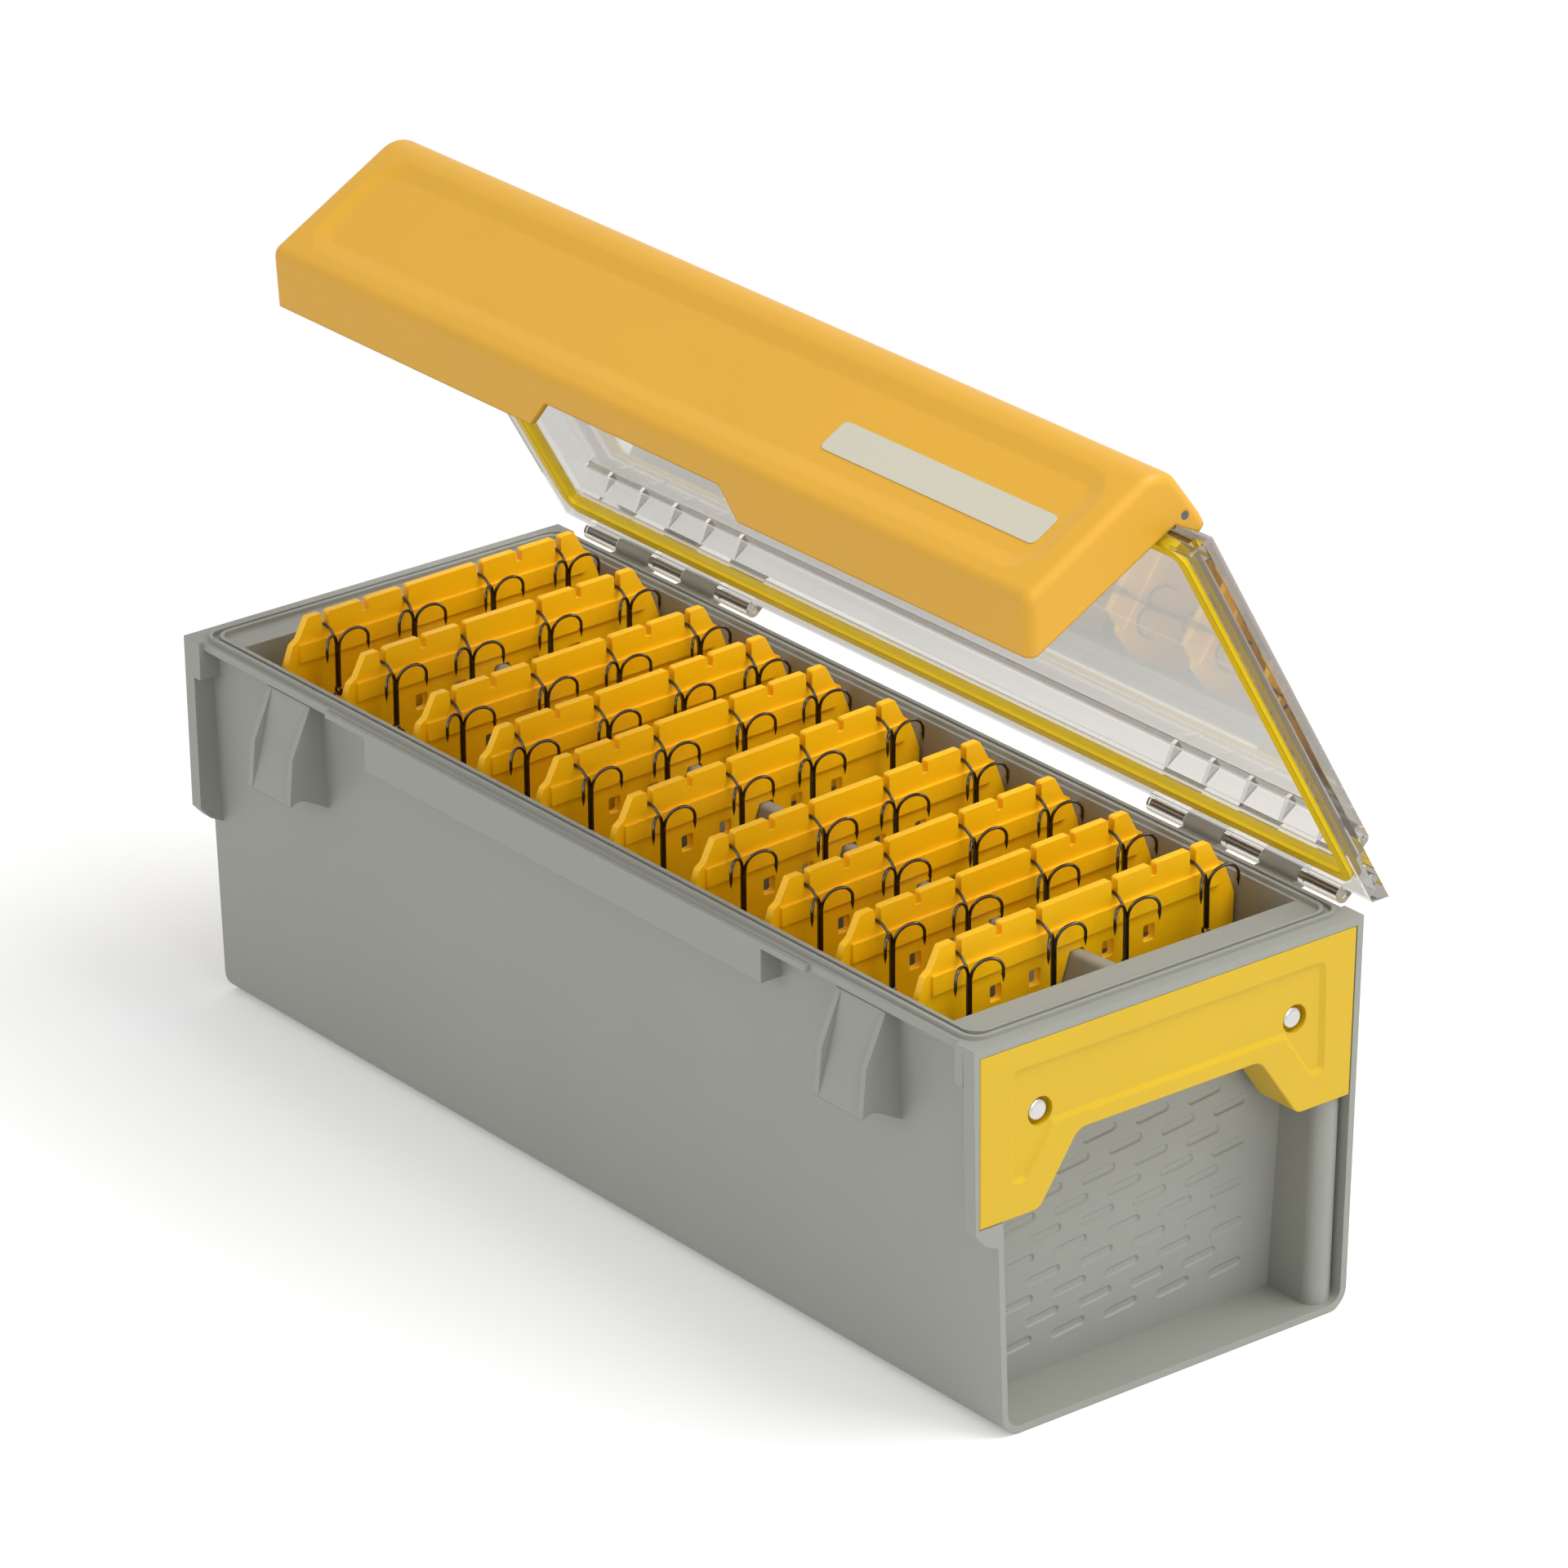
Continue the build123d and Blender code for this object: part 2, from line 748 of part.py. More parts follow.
raised_front = lid_front - raised_inset
raised_half = lid_half - raised_inset
with BuildPart() as clear_lid:
    # Margin with its turned-down skirt, then the raised middle
    with BuildSketch(lid_section):
        Polygon(
            (-back_overhang, margin_height),
            (lid_front, margin_height),
            (lid_front, skirt_foot),
            (skirt_back, skirt_foot),
            align=None,
        )
    extrude(amount=lid_half, both=True)
    with BuildSketch(lid_plan.offset(-margin_height)):
        foot_half = raised_half + raised_draft
        lid_rectangle(foot_half, raised_back - raised_draft, raised_front + raised_draft / 2)
    with BuildSketch(lid_plan.offset(-raised_height)):
        lid_rectangle(raised_half, raised_back, raised_front)
    loft()
    crown = clear_lid.faces().sort_by(Axis((0, 0, 0), outward))[-1]
    fillet(crown.edges(), raised_radius)
    # The crown is a step lower on the hinge side
    with BuildSketch(lid_section):
        Polygon(
            (0, raised_height - crown_step),
            (crown_step_place, raised_height - crown_step),
            (crown_step_place + 2 * crown_step, raised_height + crown_step),
            (0, raised_height + crown_step),
            align=None,
        )
    extrude(amount=lid_half, both=True, mode=Mode.SUBTRACT)
    # Hollow underside
    with BuildSketch(lid_plan.offset(-plate_under)):
        lid_rectangle(lid_half - skirt_wall, skirt_back + skirt_wall, lid_front - skirt_wall)
    extrude(amount=2 * margin_height, mode=Mode.SUBTRACT)
    with BuildSketch(lid_plan.offset(-plate_under)):
        beside = gasket_width / 2 + running_gap
        gasket_ring(beside + gasket_rib, beside)
        gasket_ring(-beside, -beside - inner_rib)
    extrude(amount=rib_height)
    hollow_half = raised_half - lid_wall
    hollow_back = raised_back + lid_wall
    hollow_front = raised_front - lid_wall
    with BuildSketch(lid_plan.offset(-plate_under + rib_height)):
        lid_rectangle(hollow_half + raised_draft, hollow_back - raised_draft, hollow_front)
    with BuildSketch(lid_plan.offset(-raised_height + lid_wall)):
        lid_rectangle(hollow_half, hollow_back, hollow_front)
    loft(mode=Mode.SUBTRACT)
    # A rail under the crown, and gussets that tie it to the back wall over each hinge
    roof = raised_height - lid_wall
    rail_back = hollow_back + rail_reach - rail_width
    with BuildSketch(lid_section):
        with Locations((rail_back, roof)):
            Rectangle(rail_width, rail_height, align=(Align.MIN, Align.MAX))
    extrude(amount=hollow_half + raised_draft, both=True)
    for step in range(gusset_count):
        for side in (-1, 1):
            place = side * (knuckle_start + gusset_start + step * knuckle_pitch) + gusset_width / 2
            with BuildSketch(lid_section.offset(-place)):
                Polygon(
                    (hollow_back - raised_draft, plate_under + 1.0),
                    (rail_back, roof - rail_height),
                    (rail_back, roof),
                    (hollow_back - raised_draft, roof),
                    align=None,
                )
            extrude(amount=gusset_width)
    # Room for the grey knuckles, then the clear ones
    hinge_length = 5 * knuckle_pitch + knuckle_gap
    for start in (knuckle_start - knuckle_gap, knuckle_gap - knuckle_start - hinge_length):
        with BuildSketch(Plane.YZ.offset(start)):
            with Locations((hinge_y, hinge_z)):
                Circle(knuckle_radius + knuckle_relief)
        extrude(amount=hinge_length, mode=Mode.SUBTRACT)
    for place in knuckle_places(0):
        with BuildSketch(lid_section.offset(-place - knuckle_width)):
            Circle(knuckle_radius)
            Polygon(
                (-knuckle_radius, 0),
                (-back_overhang, margin_height),
                (skirt_back + skirt_wall, margin_height),
                (knuckle_radius, 0),
                align=None,
            )
            Circle(pin_diameter / 2 + running_gap, mode=Mode.SUBTRACT)
        extrude(amount=knuckle_width)
    # Lugs that carry the latch panel's pins
    for place in (lug_end, lug_length - lug_end):
        with BuildSketch(lid_section.offset(-place)):
            with Locations((pin_s, latch_pin_height)):
                Circle(lug_radius)
            Polygon(
                (pin_s - 2 * lug_radius, margin_height - 0.5),
                (lid_front, margin_height - 0.5),
                (pin_s + lug_radius, latch_pin_height),
                (pin_s - lug_radius, latch_pin_height),
                align=None,
            )
            with Locations((pin_s, latch_pin_height)):
                Circle(latch_pin_diameter / 2 + running_gap, mode=Mode.SUBTRACT)
        extrude(amount=lug_length)
clear_lid.part.label = "clear_lid"
export_step(clear_lid.part, "parts/clear_lid.step")

with BuildPart() as lid_gasket:
    with BuildSketch(lid_plan.offset(running_gap - plate_under)):
        gasket_ring(gasket_width / 2, -gasket_width / 2)
    extrude(amount=plate_under - running_gap - gasket_foot)
lid_gasket.part.label = "lid_gasket"
export_step(lid_gasket.part, "parts/lid_gasket.step")

# Latch panel: a nose over the lid's front edge, a tall face and a skirt that turns under
face_s = lid_front + panel_face_reach
skirt_turn = radians(panel_skirt_angle)
skirt_s = face_s - panel_skirt * cos(skirt_turn)
skirt_n = -panel_bend - panel_skirt * sin(skirt_turn)
inner_s = face_s - panel_wall - recess_depth / 2
edge_s = pin_s + fit_gap
tip_s = skirt_s - panel_wall * sin(skirt_turn)
tip_n = skirt_n + panel_wall * cos(skirt_turn)


def rounded_profile(points, top_radius, bend_radius):
    """Sketch a profile and round its two outermost corners: the top one and the bend."""
    shape = Polygon(*points, align=None)
    shape = fillet(shape.vertices().group_by(Axis.X)[-1].sort_by(Axis.Y)[-1], top_radius)
    fillet(shape.vertices().group_by(Axis.X)[-1].sort_by(Axis.Y)[0], bend_radius)


def reach_from_hinge(edge):
    """How far along the lid an edge's middle lies from the hinge axis."""
    return (edge.center() - hinge_point).dot(along)


outer_profile = [
    (pin_s - nose_reach, latch_pin_height + 1.6),
    (pin_s - nose_reach + 0.8, latch_pin_height + 5.0),
    (pin_s - 2.7, panel_top),
    (face_s, panel_top - 3.2),
    (face_s, -panel_bend),
    (skirt_s, skirt_n),
    (tip_s, tip_n),
    (edge_s, latch_pin_height - 4.6),
    (pin_s - 2.7, latch_pin_height - 3.0),
]
inner_profile = [
    (lid_front - 2 * nose_reach, latch_pin_height + 1.6),
    (pin_s - 6.4, latch_pin_height + 1.6),
    (pin_s - 5.5, latch_pin_height + 3.6),
    (inner_s, panel_top - 5.3),
    (inner_s, -panel_bend + 1.3),
    (tip_s, tip_n),
    (lid_front - 2 * nose_reach, tip_n - nose_reach),
]
face_plane = Plane(origin=hinge_point + along * face_s, x_dir=(1, 0, 0), z_dir=along)
skirt_up = along * cos(skirt_turn) + outward * sin(skirt_turn)
skirt_plane = Plane(
    origin=hinge_point + along * skirt_s + outward * skirt_n,
    x_dir=(1, 0, 0),
    z_dir=Vector(1, 0, 0).cross(skirt_up),
)
recess_middle = -recess_foot + recess_height / 2
with BuildPart() as latch_panel:
    with BuildSketch(lid_section):
        rounded_profile(outer_profile, panel_crown, panel_bend_radius)
    extrude(amount=panel_half, both=True)
    rims = latch_panel.edges().filter_by(lambda edge: abs(abs(edge.center().X) - panel_half) < fit_gap)
    fillet(rims.filter_by(lambda edge: reach_from_hinge(edge) > skirt_s), panel_end_radius)
    with BuildSketch(lid_section):
        rounded_profile(inner_profile, panel_crown - panel_wall, panel_bend_radius - panel_wall)
    extrude(amount=panel_half - panel_wall, both=True, mode=Mode.SUBTRACT)
    # Sunk face
    with BuildSketch(face_plane):
        with Locations((0, recess_middle)):
            RectangleRounded(recess_length, recess_height, 2 * recess_slope)
    with BuildSketch(face_plane.offset(-recess_depth)):
        with Locations((0, recess_middle)):
            RectangleRounded(recess_length - 2 * recess_slope, recess_height - 2 * recess_slope, recess_slope)
    loft(mode=Mode.SUBTRACT)
    # Finger notch in the skirt
    with BuildSketch(skirt_plane):
        half = skirt_notch_width / 2
        notch = Polygon(
            (-half - skirt_notch_slope / 2, -skirt_notch_depth / 2),
            (half + skirt_notch_slope / 2, -skirt_notch_depth / 2),
            (half - skirt_notch_slope, skirt_notch_depth),
            (skirt_notch_slope - half, skirt_notch_depth),
            align=None,
        )
        fillet(notch.vertices().group_by(Axis.Y)[-1], skirt_notch_radius)
    extrude(amount=2 * panel_wall, both=True, mode=Mode.SUBTRACT)
    # Hooks that snap under the catches
    for side in (-1, 1):
        with BuildSketch(lid_section.offset(-side * catch_place)):
            shelf_s = inner_s - catch_shelf_length
            Polygon(
                (shelf_s, -catch_shelf_foot),
                (inner_s + panel_wall / 2, -catch_shelf_foot),
                (inner_s + panel_wall / 2, catch_shelf - catch_shelf_foot),
                (shelf_s + catch_lip, catch_shelf - catch_shelf_foot),
                (shelf_s + catch_lip, catch_shelf - catch_shelf_foot + catch_lip_rise),
                (shelf_s, catch_shelf - catch_shelf_foot + 0.6 * catch_lip_rise),
                align=None,
            )
        extrude(amount=catch_hook_width / 2, both=True)
    with BuildSketch(lid_section):
        with Locations((pin_s, latch_pin_height)):
            Circle(latch_pin_diameter / 2 + running_gap)
    extrude(amount=panel_half, both=True, mode=Mode.SUBTRACT)
latch_panel.part.label = "latch_panel"
export_step(latch_panel.part, "parts/latch_panel.step")

with BuildPart() as label:
    with BuildSketch(face_plane.offset(-recess_depth)):
        with Locations((label_place, label_height / 2 - label_foot)):
            RectangleRounded(label_length, label_height, label_radius)
    extrude(amount=label_thickness)
label.part.label = "label"
export_step(label.part, "parts/label.step")

with BuildPart() as latch_pin:
    with BuildSketch(lid_section.offset(-panel_half)):
        with Locations((pin_s, latch_pin_height)):
            Circle(latch_pin_diameter / 2)
    extrude(amount=latch_pin_length)
for side, shape in (("right", latch_pin.part), ("left", latch_pin.part.mirror(Plane.YZ))):
    shape.label = f"latch_pin_{side}"
    export_step(shape, f"parts/latch_pin_{side}.step")

# Treble hook, points up, with the crotch of its three arms at the origin and one arm along -X
arm_top = arm_root + arm_radius
arm_end = arm_top + bend_radius
tail_foot = arm_radius - bend_radius - arm_tail
with BuildPart() as treble:
    with BuildSketch(Plane.XY.offset(wire_diameter / 2)):
        Circle(shank_diameter / 2)
    extrude(amount=-shank_length - wire_diameter / 2)
    for turn in (180, 60, -60):
        with Locations(Location((0, 0, 0), (0, 0, turn))):
            with Locations(Location((arm_top, 0, 0), (90, 0, 0))):
                Torus(arm_radius, wire_diameter / 2, major_angle=90, rotation=(0, 0, 90), align=None)
            with Locations(Location((arm_top, 0, arm_radius - bend_radius), (90, 0, 0))):
                Torus(bend_radius, wire_diameter / 2, major_angle=90, align=None)
            with Locations((arm_end, 0, tail_foot + arm_tail / 2)):
                Cylinder(wire_diameter / 2, arm_tail)
            with Locations((arm_end, 0, tail_foot - point_length / 2)):
                Cone(wire_diameter / 16, wire_diameter / 2, point_length)
            with Locations(Location((arm_end - barb_inset, 0, tail_foot), (0, -barb_tilt, 0))):
                Cone(barb_inset, wire_diameter / 16, barb_length)
    with Locations(Location((0, 0, -eye_drop), (90, 0, 0))):
        Torus(eye_radius, eye_wire / 2)

with BuildPart() as split_ring:
    for side in (-1, 1):
        with Locations(Location((side * 0.4 * ring_wire, 0, 0), (0, 90, 0))):
            Torus(ring_radius, ring_wire / 2)


def mirrored_polygon(points):
    """Sketch a closed outline from its half at positive width."""
    Polygon(*points, *[(-w, z) for w, z in reversed(points)], align=None)


def rack_outline(top):
    """Sketch a rack whose top edge is at the given height."""
    foot = top - rack_depth
    foot_drop = rack_depth - rack_seat
    reach = wall_face(top - rack_flare_drop) - wall - rack_wall_gap
    tooth = outer_slot + slot_width / 2 + tooth_width
    mirrored_polygon([
        (0, top),
        (tooth, top),
        (tooth + tooth_slant, top - tooth_drop),
        (tooth + tooth_slant + shoulder_step, top - shoulder_drop),
        (reach, top - rack_flare_drop),
        (wall_face(foot) - wall - rack_wall_gap, foot),
        (divider_half(foot_drop) + rack_divider_gap, foot),
        (divider_half(divider_shoulder) + rack_divider_gap, top - rack_seat - divider_shoulder),
        (divider_top_width / 2 + rack_divider_gap, top - rack_seat),
        (0, top - rack_seat),
    ])


def cut_rack(top):
    """Cut the slots and windows into a rack's sketch and round its corners."""
    for place, width, depth in (
        (inner_slot, slot_width, slot_depth),
        (outer_slot, slot_width, slot_depth),
        (notch_place, notch_width, notch_drop),
    ):
        with Locations((place, top + 1), (-place, top + 1)):
            Rectangle(width, depth + 1, align=(Align.CENTER, Align.MAX), mode=Mode.SUBTRACT)
    with Locations([(place, top - window_drop - window_height / 2) for place in window_places]):
        RectangleRounded(window_width, window_height, window_radius, mode=Mode.SUBTRACT)


span = inner_end(tub_height) - rack_inset
pitch = 2 * span / (rack_count - 1)
hook_drop = slot_depth - hook_seat_gap - wire_diameter / 2 + arm_radius
for index in range(rack_count):
    place = -span + index * pitch + rack_shift[index]
    yaw = rack_turn[index]
    top = divider_top(place) + rack_seat + rack_seat_gap
    across = Vector(0, 1, 0).rotate(Axis.Z, yaw)
    normal = Vector(1, 0, 0).rotate(Axis.Z, yaw)
    rack_plane = Plane(origin=(place, 0, 0), x_dir=across, z_dir=normal)
    with BuildPart() as rack:
        with BuildSketch(rack_plane) as outline:
            rack_outline(top)
            cut_rack(top)
            fillet(outline.vertices().group_by(Axis.Y)[-1], block_radius)
        extrude(amount=rack_thickness / 2, both=True)
        with BuildSketch(rack_plane.offset(rack_thickness / 2)):
            with Locations((0, top - band_top)):
                Rectangle(2 * band_half, band_height, align=(Align.CENTER, Align.MAX))
        extrude(amount=rack_band)
    hooks = []
    rings = []
    for step, slot in enumerate((-outer_slot, -inner_slot, inner_slot, outer_slot)):
        turn = yaw + hook_turn[(4 * index + step) % len(hook_turn)]
        reach = Vector(arm_top, 0, 0).rotate(Axis.Z, turn)
        spot = Vector(place, 0, top - hook_drop) + across * slot + reach
        hooks.append(treble.part.solid().moved(Location(spot, (0, 0, turn))))
        ring_spot = spot - Vector(0, 0, eye_drop + ring_drop)
        rings.append(split_ring.part.solid().moved(Location(ring_spot, (0, 0, turn))))
    for name, shape in (
        ("hook_rack", rack.part),
        ("treble_hooks", Compound(hooks)),
        ("split_rings", Compound(rings)),
    ):
        shape.label = f"{name}_{index + 1:02d}"
        export_step(shape, f"parts/{shape.label}.step")
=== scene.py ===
# %% [markdown]
# # A hanging lure box, dressed for the camera
# The box is a long grey tub with a clear lid, an orange-yellow latch panel and ten yellow racks
# of treble hooks. Its solids were drawn before this script starts, so the shapes and
# the joints are settled. What is left is how it looks: plastic, steel, glassy lid, light, camera.
#
# The first step loads those solids. Each arrives as one object whose place is in its vertices,
# in metres, with +Z up and the floor at z = 0.

from math import cos, radians, sin

import bpy
from mathutils import Matrix, Vector

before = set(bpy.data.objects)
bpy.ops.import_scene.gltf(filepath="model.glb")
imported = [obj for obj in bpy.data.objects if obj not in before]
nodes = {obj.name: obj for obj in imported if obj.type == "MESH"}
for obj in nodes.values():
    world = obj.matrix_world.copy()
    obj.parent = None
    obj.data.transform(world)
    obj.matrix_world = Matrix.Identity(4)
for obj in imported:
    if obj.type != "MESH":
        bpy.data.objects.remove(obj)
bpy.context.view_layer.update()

# %% [markdown]
# ## Sums on sockets
# A finish is a small network of nodes. Wiring it by hand hides the idea behind the plumbing, so
# one class wraps a socket and lets Python's own operators add the Math nodes: `1 - cloud * 0.2`
# reads like the sum it is. Python asks the right-hand value when the left one is a plain number,
# so each operator has its reflected form too. Every other node comes from the one `node` method,
# which sets the node's options first, because some options change which sockets it has.


# %% A socket that can be used in a sum
class Wire:
    """One output socket of a node tree, written like a number in sums."""

    def __init__(self, tree, socket=None):
        self.tree = tree
        self.socket = socket

    def node(self, kind, settings=None, links=None, output=0):
        """Add a node: its options first, then the values or wires of its sockets."""
        made = self.tree.nodes.new(kind)
        for name, value in (settings or {}).items():
            setattr(made, name, value)
        for name, value in (links or {}).items():
            if isinstance(value, Wire):
                self.tree.links.new(value.socket, made.inputs[name])
            else:
                made.inputs[name].default_value = value
        return Wire(self.tree, made.outputs[output]) if made.outputs else made

    def ray_is(self, *kinds):
        """How many of the named kinds a ray is, such as Camera or Glossy: 0 for none."""
        total = self.node("ShaderNodeLightPath", output=f"Is {kinds[0]} Ray")
        for kind in kinds[1:]:
            total = total + self.node("ShaderNodeLightPath", output=f"Is {kind} Ray")
        return total

    def maths(self, operation, left, right):
        """Add one Math node on two values, each a wire or a number."""
        return self.node("ShaderNodeMath", {"operation": operation}, {0: left, 1: right})

    def __add__(self, other):
        return self.maths("ADD", self, other)

    def __radd__(self, other):
        return self.maths("ADD", other, self)

    def __sub__(self, other):
        return self.maths("SUBTRACT", self, other)

    def __rsub__(self, other):
        return self.maths("SUBTRACT", other, self)

    def __mul__(self, other):
        return self.maths("MULTIPLY", self, other)

    def __rmul__(self, other):
        return self.maths("MULTIPLY", other, self)

    def __gt__(self, other):
        return self.maths("GREATER_THAN", self, other)

    def __lt__(self, other):
        return self.maths("LESS_THAN", self, other)


print("a socket takes: + - * > <")

# %% [markdown]
# ## Colours
# The photograph gives screen colours. Blender works in linear light, so each is converted once
# here with the sRGB curve. The lamps sit at a plain level, at which a rendered face is about as
# bright as its colour. Faces turned to the strongest lamp come out a little brighter than that and
# the racks down in the tub a little darker, so the last steps of each colour were taken by
# comparing a render with the photograph.


# %% Screen colours to linear light
def linear(red, green, blue):
    """Linear RGBA of an sRGB colour given from 0 to 255."""
    values = []
    for channel in (red, green, blue):
        part = channel / 255
        values.append(part / 12.92 if part <= 0.04045 else ((part + 0.055) / 1.055) ** 2.4)
    return (*values, 1.0)


def shaded(colour, factor):
    """The same colour, lighter or darker."""
    return (*[channel * factor for channel in colour[:3]], 1.0)


GREY = linear(150, 151, 143)
GRIP_YELLOW = linear(210, 173, 8)
RACK_YELLOW = linear(255, 193, 0)
LATCH_YELLOW = linear(215, 161, 36)
GASKET_YELLOW = linear(226, 194, 0)
LABEL_CREAM = linear(196, 191, 172)
print("grey in linear light:", [round(value, 3) for value in GREY])

# %% [markdown]
# ## A blank material
# Every finish starts from a material with an empty tree and ends with a shader wired to the
# output. Between the two, most need a noise and a blend of two colours. The noise is placed by the
# object's own coordinates, so it stays on a piece when a joint moves it. A Mix node does the
# blend, because a Math node would turn the colours grey.


# %% Helpers for every finish
def new_material(name):
    """An empty material, and a wire to start its nodes from."""
    material = bpy.data.materials.new(name)
    material.use_nodes = True
    material.node_tree.nodes.clear()
    return material, Wire(material.node_tree)


def finish_with(material, wire):
    """Wire a shader to the material's output."""
    wire.node("ShaderNodeOutputMaterial", links={"Surface": wire})
    return material


def noise(start, scale, detail):
    """Noise from 0 to 1 that is fixed to the piece, finer with a larger scale."""
    place = start.node("ShaderNodeTexCoord", output="Object")
    links = {"Vector": place, "Scale": scale, "Detail": detail}
    return start.node("ShaderNodeTexNoise", links=links)


def blend_colours(amount, first, second):
    """Mix two colours by a wire from 0 to 1."""
    colours = {"Factor": amount, 6: first, 7: second}
    return amount.node("ShaderNodeMix", {"data_type": "RGBA"}, colours, output=2)


print("helpers for a finish: new_material, finish_with, noise, blend_colours")

# %% [markdown]
# ## Moulded plastic
# Tub, grips, racks and latch panel are injection moulded. Such a surface is satin: the mould is
# spark eroded, which leaves a grain far below a millimetre, and the colour is even but for a
# trace of cloudiness. The grain is a fine noise that bends the light through a Bump node, the
# cloudiness a coarse one that shifts the colour by a few parts in a hundred. Real moulded edges
# are never knife sharp either, so a Bevel node rounds the shading over the last half millimetre
# without a single extra face. The latch panel's sunk face runs out softly, so its edges are rounded
# over a wider strip. Yellow plastic lets a little light in, which subsurface scattering spreads.

# %% Satin plastic
CLOUD_SCALE, CLOUD_TINT, CLOUD_GLOSS = 22.0, 0.035, 0.08
GRAIN_SCALE, GRAIN_HEIGHT = 1400.0, 0.0002
LIGHT_REACH = 0.004
PLASTIC_IOR = 1.48


def satin_plastic(name, colour, roughness, grain=0.04, edge=0.0004, glow=0.0):
    """Moulded plastic: even colour, fine grain, softened edges, some light inside."""
    material, start = new_material(name)
    cloud = noise(start, CLOUD_SCALE, detail=3.0)
    fine = noise(start, GRAIN_SCALE, detail=1.0)
    tint = blend_colours(cloud, shaded(colour, 1 - CLOUD_TINT), shaded(colour, 1 + CLOUD_TINT))
    soft_edge = start.node("ShaderNodeBevel", {"samples": 4}, {"Radius": edge})
    bump = start.node(
        "ShaderNodeBump",
        links={"Height": fine, "Strength": grain, "Distance": GRAIN_HEIGHT, "Normal": soft_edge},
    )
    shader = start.node(
        "ShaderNodeBsdfPrincipled",
        links={
            "Base Color": tint,
            "Roughness": roughness + (cloud - 0.5) * CLOUD_GLOSS,
            "Normal": bump,
            "Subsurface Weight": glow,
            "Subsurface Scale": LIGHT_REACH,
            "IOR": PLASTIC_IOR,
        },
    )
    return finish_with(material, shader)


print("grain:", 1000 * GRAIN_HEIGHT, "mm high, cloudiness:", CLOUD_TINT, "either way")

# %% [markdown]
# ## The plastics of the box
# The tub is opaque grey. Grips, racks and latch panel are three different yellows, of which that
# of the racks lets the most light in. The label is a smooth matt film, and the gasket a soft
# rubber, the dullest of all. They differ only in a few numbers, so one recipe makes all six.

# %% Plastics of the box
tub_plastic = satin_plastic("tub grey satin", GREY, roughness=0.46)
grip_plastic = satin_plastic("grip yellow satin", GRIP_YELLOW, roughness=0.40, glow=0.08)
rack_plastic = satin_plastic("rack yellow satin", RACK_YELLOW, roughness=0.42, glow=0.18)
latch_plastic = satin_plastic(
    "latch orange-yellow satin", LATCH_YELLOW, roughness=0.44, grain=0.07, edge=0.0016, glow=0.06
)
label_film = satin_plastic(
    "label cream film", LABEL_CREAM, roughness=0.5, grain=0.02, edge=0.0001
)
gasket_rubber = satin_plastic(
    "gasket yellow rubber", GASKET_YELLOW, roughness=0.6, grain=0.05, edge=0.0005
)
plastics = (tub_plastic, grip_plastic, rack_plastic, latch_plastic, label_film, gasket_rubber)
print("satin plastics:", [plastic.name for plastic in plastics])

# %% [markdown]
# ## Clear lid
# The lid is polycarbonate, moulded smooth on both sides. Full transmission with the plastic's
# index of refraction gives the bright edges and doubled ribs of the real thing. Light that only
# casts shadows should pass almost straight through, as it does through a thin sheet, so a
# transparent shader takes over for shadow rays: the lid's shadow stays pale. In thick corners
# light is thrown from side to side many times. A renderer gives up after some of those turns and
# draws black, where the real edge looks a soft grey from the light still inside it. Late turns get
# painted light instead: a grey glow of the lid's own, which stands in for that light.


# %% Clear polycarbonate
LID_TINT = linear(206, 204, 199)
# Painted light: the grey that the lid's thick edges glow with after late turns.
PAINTED_EDGE_LIGHT = linear(186, 178, 172)
SHADOW_TINT = (0.86, 0.86, 0.88, 1.0)
CLEAR_ROUGHNESS, CLEAR_IOR = 0.03, 1.45
LAST_TURN = 4.5


def clear_plastic(name, colour, shadow, painted_edge_light):
    """A clear sheet that refracts for the eye, lets shadow rays through and glows grey after late
    turns, which is painted light.
    """
    material, start = new_material(name)
    clear = start.node(
        "ShaderNodeBsdfPrincipled",
        links={
            "Base Color": colour,
            "Roughness": CLEAR_ROUGHNESS,
            "IOR": CLEAR_IOR,
            "Transmission Weight": 1.0,
        },
    )
    # Painted light: a grey glow standing in for light the renderer stops following in thick edges.
    glow = start.node("ShaderNodeEmission", links={"Color": painted_edge_light, "Strength": 1.0})
    turns = start.node("ShaderNodeLightPath", output="Ray Depth")
    sheet = start.node("ShaderNodeMixShader", links={0: turns > LAST_TURN, 1: clear, 2: glow})
    passing = start.node("ShaderNodeBsdfTransparent", links={"Color": shadow})
    in_shadow = start.ray_is("Shadow")
    mixed = start.node("ShaderNodeMixShader", links={0: in_shadow, 1: sheet, 2: passing})
    return finish_with(material, mixed)


lid_plastic = clear_plastic("lid clear polycarbonate", LID_TINT, SHADOW_TINT, PAINTED_EDGE_LIGHT)
print("clear material:", lid_plastic.name)

# %% [markdown]
# ## Metals
# The screws are bright zinc-plated steel. The hinge pins, seen through clear knuckles, look brown
# from the yellow racks mirrored in them, and that brown is a painted reflection in their colour.
# The latch pins are a darker steel, and the hooks black nickel: a nearly black metal that still
# mirrors the room. A metal's base colour is its reflection, so black nickel is dark brown-grey
# with full Metallic and low Roughness. Noise makes the polish a little uneven.


# %% Plated metals
POLISH_SCALE, POLISH_SPREAD = 300.0, 0.1


def plated_metal(name, colour, roughness):
    """A bare or plated metal with a faintly uneven polish."""
    material, start = new_material(name)
    uneven = noise(start, POLISH_SCALE, detail=2.0)
    polish = roughness + (uneven - 0.5) * POLISH_SPREAD
    shader = start.node(
        "ShaderNodeBsdfPrincipled",
        links={"Base Color": colour, "Metallic": 1.0, "Roughness": polish},
    )
    return finish_with(material, shader)


